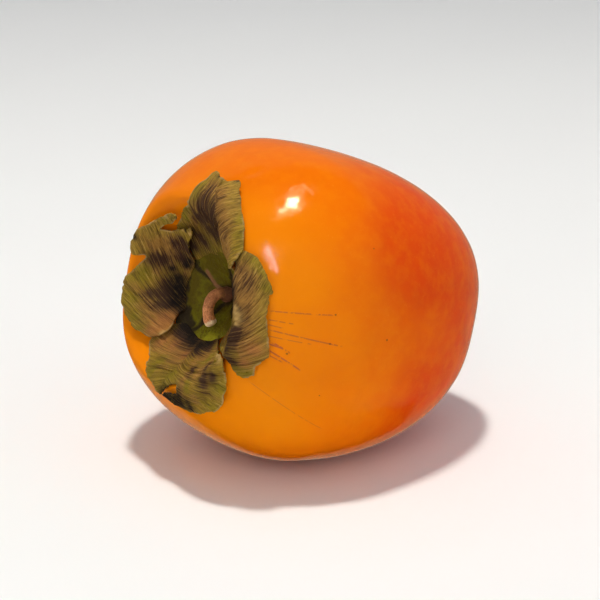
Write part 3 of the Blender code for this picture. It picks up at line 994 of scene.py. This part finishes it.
def disc_material(props):
    """Fleshy green disc with a pinkish-brown ridge, painted shade in its creases, on its shaded
    rim and at the stem's foot, and painted highlights.
    """
    disc = Finish("calyx_disc_green")
    place = disc.in_fruit()
    up, back, _ = disc.split(place)
    cloudy = disc.noise(place, 0.30, detail=4.0, roughness=0.6)
    speckle = disc.noise(place, 1.6, detail=4.0, roughness=0.65)
    # Painted highlight: the disc's lower edge is painted yellower
    lit_low_edge = disc.ramp(up, -5.0, -9.0) * disc.ramp(speckle, 0.35, 0.6)
    # Painted highlight spots near the rim
    painted_highlight = disc.attribute("light") * (speckle + 0.5)
    crease_and_shade = disc.attribute("crease_and_shade") + (speckle - 0.5) * 0.9
    ridged = disc.attribute("ridged") + (speckle - 0.5) * 0.5
    at_foot = disc.ramp(diagonal(up, back), 2.9, 1.7)
    colour = disc.layered(
        props.disc_colour,
        (disc.ramp(cloudy, 0.42, 0.64), DISC_OLIVE),
        (disc.ramp(speckle, 0.48, 0.68) * 0.6, DISC_BROWN),
        (lit_low_edge * 0.5, DISC_HIGHLIGHT_YELLOW),
        (disc.ramp(painted_highlight, 0.25, 1.0) * 0.8, SPOT_HIGHLIGHT_YELLOW),
        # Painted shade in the creases and on the shaded rim
        (disc.ramp(crease_and_shade, 0.3, 1.0) * 0.9, props.crease_shade_colour),
        (disc.ramp(ridged, 0.45, 0.95), RIDGE_COLOUR),
        (at_foot * 0.85, FOOT_SHADE))
    return disc.set(Base_Color=colour, Roughness=speckle * 0.25 + 0.45,
                    Specular_IOR_Level=0.07, Normal=disc.bump(speckle + cloudy * 0.5, 0.25))


class PERSIMMON_OT_disc(bpy.types.Operator):
    """Model the green middle of the calyx, with its pads and ridge, and paint it"""
    bl_idname = "persimmon.disc"
    bl_label = "Calyx Disc"

    def execute(self, context):
        obj = shaped_ball(200, 150, disc_shape, "light", "crease_and_shade", "ridged")
        finish_piece(obj, "green_disc", disc_material(context.scene.persimmon_calyx),
                     "calyx_disc")
        return {"FINISHED"}


# ---------------------------------------------------------------- stem
# The stem's middle line from the fruit outwards: up, towards the back, and along the axis
STEM_LINE = [Vector(place) for place in (
    (0.0, -0.1, 10.8), (0.35, -0.15, 12.4), (0.5, -0.2, 13.8), (0.2, -0.4, 15.2),
    (-1.0, -0.5, 16.5), (-2.9, -1.0, 17.2), (-4.8, -1.7, 17.1), (-6.4, -2.5, 16.4))]
STEM_ROUNDING = 0.07            # share of the stem's length that its ends are rounded over
STEM_SIDE = (0.3, 1.0, 0.1)     # about square to the stem's bend
# Where it is thicker: share of its length, how wide, and how much thicker
COLLARS = [(0.12, 0.10, 0.45), (0.9, 0.06, 0.10)]
# The bark's ridges: how close they are, how high as a share of the radius
BARK_RIDGES = [(2.4, 0.10), (7.0, 0.05)]
BARK_LIGHT = (0.58, 0.21, 0.085)
BARK_DARK = (0.13, 0.045, 0.022)
# Painted shade: the stem is darkened towards its foot in the hollow
BARK_FOOT_SHADE = (0.06, 0.02, 0.012)
BROKEN_END = (0.95, 0.70, 0.42)


def stem_shape(unit, stem_radius):
    """A point of the stem and how far along it is, from 0 at the fruit to 1."""
    share = acos(max(-1.0, min(1.0, -unit.z))) / pi
    turn = atan2(unit.y, unit.x)
    heading = (along_line(STEM_LINE, min(share + 0.03, 1.0))
               - along_line(STEM_LINE, max(share - 0.03, 0.0))).normalized()
    side = heading.cross(Vector(STEM_SIDE)).normalized()
    other = heading.cross(side)
    from_end = min(share, 1 - share) / STEM_ROUNDING
    rounding = sqrt(1 - (1 - min(from_end, 1.0)) ** 2)
    around = Vector((cos(turn) * 1.3, sin(turn) * 1.3, share * 2.2))
    bark = sum(rise * noise.noise(around * closeness) for closeness, rise in BARK_RIDGES)
    collar = sum(thicker * bell(share - at, width) for at, width, thicker in COLLARS)
    radius = stem_radius * (1.0 + bark + collar) * rounding
    outwards = side * cos(turn) + other * sin(turn)
    return along_line(STEM_LINE, share) + outwards * radius, share


def stem_material(props):
    """Reddish-brown bark with fine ridges, a pale broken end, and painted shade at its foot."""
    bark = Finish("stem_bark")
    place = bark.in_fruit()
    along = bark.attribute("along")
    rough = bark.noise(place, 1.1, detail=5.0, roughness=0.65)
    fine = bark.noise(place, 4.5, detail=4.0, roughness=0.65)
    broken = bark.ramp(along + (rough - 0.5) * 0.10, 0.895, 0.920)
    colour = bark.layered(
        props.stem_colour,
        (bark.ramp(rough, 0.38, 0.62), BARK_LIGHT),
        (bark.ramp(fine, 0.52, 0.68) * 0.55, BARK_DARK),
        # Painted shade towards the stem's foot
        (bark.ramp(along, 0.45, 0.22) * 0.8, BARK_FOOT_SHADE),
        (broken, BROKEN_END))
    return bark.set(Base_Color=colour, Roughness=fine * 0.2 + 0.55,
                    Specular_IOR_Level=0.12, Normal=bark.bump(rough + fine * 0.6, 0.25))


class PERSIMMON_OT_stem(bpy.types.Operator):
    """Model the curved stub of stem, bark and broken end, and paint it"""
    bl_idname = "persimmon.stem"
    bl_label = "Stem"

    def execute(self, context):
        props = context.scene.persimmon_calyx
        radius = props.stem_radius / MM
        obj = shaped_ball(96, 200, lambda unit: stem_shape(unit, radius), "along")
        finish_piece(obj, "stem_bark", stem_material(props), "stem")
        return {"FINISHED"}


# ---------------------------------------------------------------- style tip
TIP_HEIGHT = 1.6
TIP_RADIUS = 0.92               # at its foot
TIP_TAPER = 0.36                # how much narrower it is a millimetre further out
TIP_LEAN = 0.15
TIP_RAGGED = 0.2
TIP_FOOT_POWER = 0.2            # the less it is than 1, the blunter the end
TIP_POINT_POWER = 0.6
TIP_FOOT = fruit_shape(Vector((0, 0, -1)))[0].z - 0.12 * CLEARANCE
TIP_DARK = (0.016, 0.010, 0.008)
TIP_BROWN = (0.07, 0.03, 0.015)


def tip_shape(unit):
    """A point of the dried tip: a ragged little cone with its foot on the skin."""
    height = TIP_HEIGHT * (0.5 - 0.5 * unit.z)
    across = sqrt(unit.x ** 2 + unit.y ** 2)
    blunted = across ** (TIP_FOOT_POWER if unit.z > 0 else TIP_POINT_POWER)
    ragged = 1 + TIP_RAGGED * noise.noise(unit * 2.5)
    reach = (TIP_RADIUS - TIP_TAPER * height) * blunted * ragged
    turn = atan2(unit.y, unit.x)
    lean = TIP_LEAN * height ** 2
    return (Vector((reach * cos(turn) + lean, reach * sin(turn), TIP_FOOT - height)),)


def tip_material():
    """Dark, dry and matt."""
    dried = Finish("dried_style")
    grain = dried.noise(dried.in_fruit(), 2.5, detail=4.0, roughness=0.65)
    colour = dried.layered(TIP_DARK, (dried.ramp(grain, 0.4, 0.65), TIP_BROWN))
    return dried.set(Base_Color=colour, Roughness=0.75, Normal=dried.bump(grain, 0.2))


class PERSIMMON_OT_style(bpy.types.Operator):
    """Model the dried tip of the style at the blossom end, and paint it"""
    bl_idname = "persimmon.style"
    bl_label = "Style Tip"

    def execute(self, context):
        finish_piece(shaped_ball(64, 48, tip_shape), "style_point", tip_material(),
                     "style_tip")
        return {"FINISHED"}


# ---------------------------------------------------------------- stage
OVERHEAD = (-0.05, 0.0, 1.0)
WINDOW = (-0.62, -0.54, 0.56)
WARM_WHITE = (1.0, 0.95, 0.86)
GLINT_YELLOW = (1.0, 0.86, 0.55)
GLOW_YELLOW = (1.0, 0.82, 0.50)
DAYLIGHT = (0.95, 0.95, 1.0)
GLOW_WALL = (2.0, 4.0, 4.4, 26.0, (1.0, 0.66, 0.42), 0)
# Soft lamps, some that only light things and some that only shine on them: the way
# to each from the fruit, then its distance, width and height in metres, its power,
# its colour and its turn in degrees
LAMPS = [
    ("overhead_lamp", "lights", OVERHEAD, 0.9, 0.08, 0.08, 5.5, WARM_WHITE, 0),
    ("overhead_glint", "shines", OVERHEAD, 0.9, 0.058, 0.22, 17.0, GLINT_YELLOW, 45),
    ("overhead_glow", "shines", OVERHEAD, 0.9, 0.15, 0.50, 3.4, GLOW_YELLOW, 45),
    ("window", "lights", WINDOW, 1.0, 0.3, 0.4, 0.9, WARM_WHITE, 0),
    ("window_glint", "shines", WINDOW, 1.0, 0.003, 0.42, 3.6, DAYLIGHT, 25),
    ("glow_right_back", "shines", (0.75, 0.66, 0), *GLOW_WALL),
    ("glow_left_back", "shines", (-0.66, 0.75, 0), *GLOW_WALL),
    ("glow_left_front", "shines", (-0.75, -0.66, 0), *GLOW_WALL),
    ("glow_right_front", "shines", (0.66, -0.75, 0), *GLOW_WALL),
    ("front_fill", "lights", (0.6, -1.0, 0.1), 1.2, 0.8, 0.8, 3.15, WARM_WHITE, 0),
    ("side_fill", "lights", (-1.0, -0.5, 0.05), 1.2, 0.8, 0.8, 1.9, WARM_WHITE, 0),
]
WORLD_STRENGTH = 0.38
FLOOR_COLOUR = (0.89, 0.91, 0.94)
FLOOR_SIZE = 8.0                # metres
CAMERA_DISTANCE = 450
CAMERA_RIGHT = 7.05             # to stand the fruit a little left of the middle
CAMERA_UP = -0.56


def soft_lamp(name, work, direction, distance, width, height, power, colour, turn):
    """A lamp that faces the fruit, and either lights things or shines on them."""
    lamp = bpy.data.lights.new(name, "AREA")
    lamp.shape = "RECTANGLE"
    lamp.size = width
    lamp.size_y = height
    lamp.energy = power
    lamp.color = colour
    obj = bpy.data.objects.new(name, lamp)
    bpy.context.scene.collection.objects.link(obj)
    toward = Vector(direction).normalized()
    obj.location = CENTRE * MM + toward * distance
    facing = toward.to_track_quat("Z", "Y") @ Quaternion((0, 0, 1), radians(turn))
    obj.rotation_euler = facing.to_euler()
    obj.visible_diffuse = work == "lights"
    obj.visible_glossy = work == "shines"
    obj.visible_camera = False


def pale_floor():
    """A plain pale floor that isn't mirrored in the fruit."""
    bpy.ops.object.select_all(action="DESELECT")
    bpy.ops.mesh.primitive_plane_add(size=FLOOR_SIZE)
    floor = bpy.context.object
    floor.name = "floor"
    paper = Finish("floor_paper")
    floor.data.materials.append(paper.set(Base_Color=FLOOR_COLOUR, Roughness=0.9,
                                          Specular_IOR_Level=0.0))
    floor.visible_glossy = False


def soft_world():
    """An even white light from all round that isn't mirrored in the fruit."""
    world = bpy.data.worlds.new("studio")
    world.use_nodes = True
    background = world.node_tree.nodes["Background"]
    background.inputs["Color"].default_value = (1, 1, 1, 1)
    background.inputs["Strength"].default_value = WORLD_STRENGTH
    world.cycles_visibility.glossy = False
    return world


def place_camera(props):
    """The camera, which looks at a point a little aside of the fruit's middle."""
    back = Vector((sin(props.azimuth) * cos(props.elevation),
                   -cos(props.azimuth) * cos(props.elevation), sin(props.elevation)))
    right = Vector((cos(props.azimuth), sin(props.azimuth), 0))
    up = back.cross(right)
    lens = bpy.data.cameras.new("camera")
    lens.lens = props.lens
    lens.sensor_width = 36
    lens.clip_start = 0.01
    camera = bpy.data.objects.new("camera", lens)
    bpy.context.scene.collection.objects.link(camera)
    aside = right * CAMERA_RIGHT + up * CAMERA_UP
    camera.location = (CENTRE + back * CAMERA_DISTANCE + aside) * MM
    camera.rotation_euler = back.to_track_quat("Z", "Y").to_euler()
    return camera


class PERSIMMON_OT_stage(bpy.types.Operator):
    """Set the pale floor, the soft lights and the camera"""
    bl_idname = "persimmon.stage"
    bl_label = "Stage"

    def execute(self, context):
        scene = context.scene
        pale_floor()
        scene.world = soft_world()
        scene.view_settings.view_transform = "Standard"
        for lamp in LAMPS:
            soft_lamp(*lamp)
        scene.camera = place_camera(scene.persimmon_stage)
        return {"FINISHED"}


# ---------------------------------------------------------------- add-on

def colour_property(name, description, default):
    """A colour that a user can change."""
    return bpy.props.FloatVectorProperty(name=name, description=description, default=default,
                                         subtype="COLOR", size=3, min=0.0, max=1.0)


def length_property(name, description, default):
    """A small size that a user can change, given in millimetres."""
    return bpy.props.FloatProperty(name=name, description=description, default=default * MM,
                                   unit="LENGTH", min=0.0, precision=5)


class PersimmonFruit(bpy.types.PropertyGroup):
    """Colours of the skin"""
    shoulder_colour: colour_property("Shoulder", "Skin round the calyx", (0.88, 0.25, 0.003))
    skin_colour: colour_property("Skin", "Skin of the widest part", (0.80, 0.156, 0.002))
    blossom_colour: colour_property("Blossom End", "Skin towards the tip", (0.70, 0.060, 0.002))


class PersimmonCalyx(bpy.types.PropertyGroup):
    """Sizes and colours of the calyx and the stem"""
    sepal_thickness: length_property("Sepal Thickness", "How thick a dried sepal is", 0.4)
    stem_radius: length_property("Stem Radius", "Radius of the stem's plain part", 1.22)
    olive_colour: colour_property("Olive", "Sepals between their ribs", (0.31, 0.18, 0.022))
    tan_colour: colour_property("Tan", "Drier parts of the sepals", (0.37, 0.185, 0.040))
    margin_colour: colour_property("Margin", "Sepals near their margins", (0.35, 0.23, 0.028))
    green_colour: colour_property("Green", "Greenest parts of the sepals", (0.24, 0.19, 0.012))
    rust_colour: colour_property("Rust", "Rusty corners of the sepals", (0.46, 0.18, 0.05))
    # Purple of the sepals' staining, also laid as painted shade in troughs and at the base
    purple_and_shade_colour: colour_property("Purple", "Stained parts of the sepals", (0.042, 0.019, 0.016))
    streak_colour: colour_property("Streaks", "Streaks along the ribs", (0.05, 0.023, 0.013))
    rib_colour: colour_property("Ribs", "Palest ribs of the sepals", (0.52, 0.32, 0.085))
    disc_colour: colour_property("Disc", "Middle of the calyx", (0.11, 0.080, 0.004))
    # Painted shade of the disc's creases and shaded rim
    crease_shade_colour: colour_property("Creases", "Creases of the disc", (0.026, 0.015, 0.010))
    stem_colour: colour_property("Stem", "Bark of the stem", (0.80, 0.34, 0.13))


class PersimmonStage(bpy.types.PropertyGroup):
    """Where the camera stands and what it sees through"""
    azimuth: bpy.props.FloatProperty(
        name="Azimuth", description="Where the camera stands round the fruit",
        default=radians(-38.1), subtype="ANGLE")
    elevation: bpy.props.FloatProperty(
        name="Elevation", description="How high the camera looks from",
        default=radians(18.0), subtype="ANGLE")
    lens: bpy.props.FloatProperty(
        name="Lens", description="Focal length", unit="CAMERA", default=119.9)


class PERSIMMON_PT_panel(bpy.types.Panel):
    """Steps of the model, in order"""
    bl_label = "Persimmon"
    bl_idname = "PERSIMMON_PT_panel"
    bl_space_type = "VIEW_3D"
    bl_region_type = "UI"
    bl_category = "Persimmon"

    def draw(self, context):
        for step in STEPS:
            self.layout.operator(step.bl_idname)


STEPS = (PERSIMMON_OT_fruit, PERSIMMON_OT_disc, PERSIMMON_OT_sepals, PERSIMMON_OT_stem,
         PERSIMMON_OT_style, PERSIMMON_OT_stage)
GROUPS = {"persimmon_fruit": PersimmonFruit, "persimmon_calyx": PersimmonCalyx,
          "persimmon_stage": PersimmonStage}
CLASSES = (*GROUPS.values(), *STEPS, PERSIMMON_PT_panel)


def register():
    """Make the add-on's classes known to Blender."""
    for cls in CLASSES:
        bpy.utils.register_class(cls)
    for name, group in GROUPS.items():
        setattr(bpy.types.Scene, name, bpy.props.PointerProperty(type=group))


def unregister():
    """Take them away again."""
    for name in GROUPS:
        delattr(bpy.types.Scene, name)
    for cls in reversed(CLASSES):
        bpy.utils.unregister_class(cls)


def main():
    """Build every piece in order."""
    register()
    for step in STEPS:
        group, action = step.bl_idname.split(".")
        getattr(getattr(bpy.ops, group), action)()


if __name__ == "__main__":
    main()
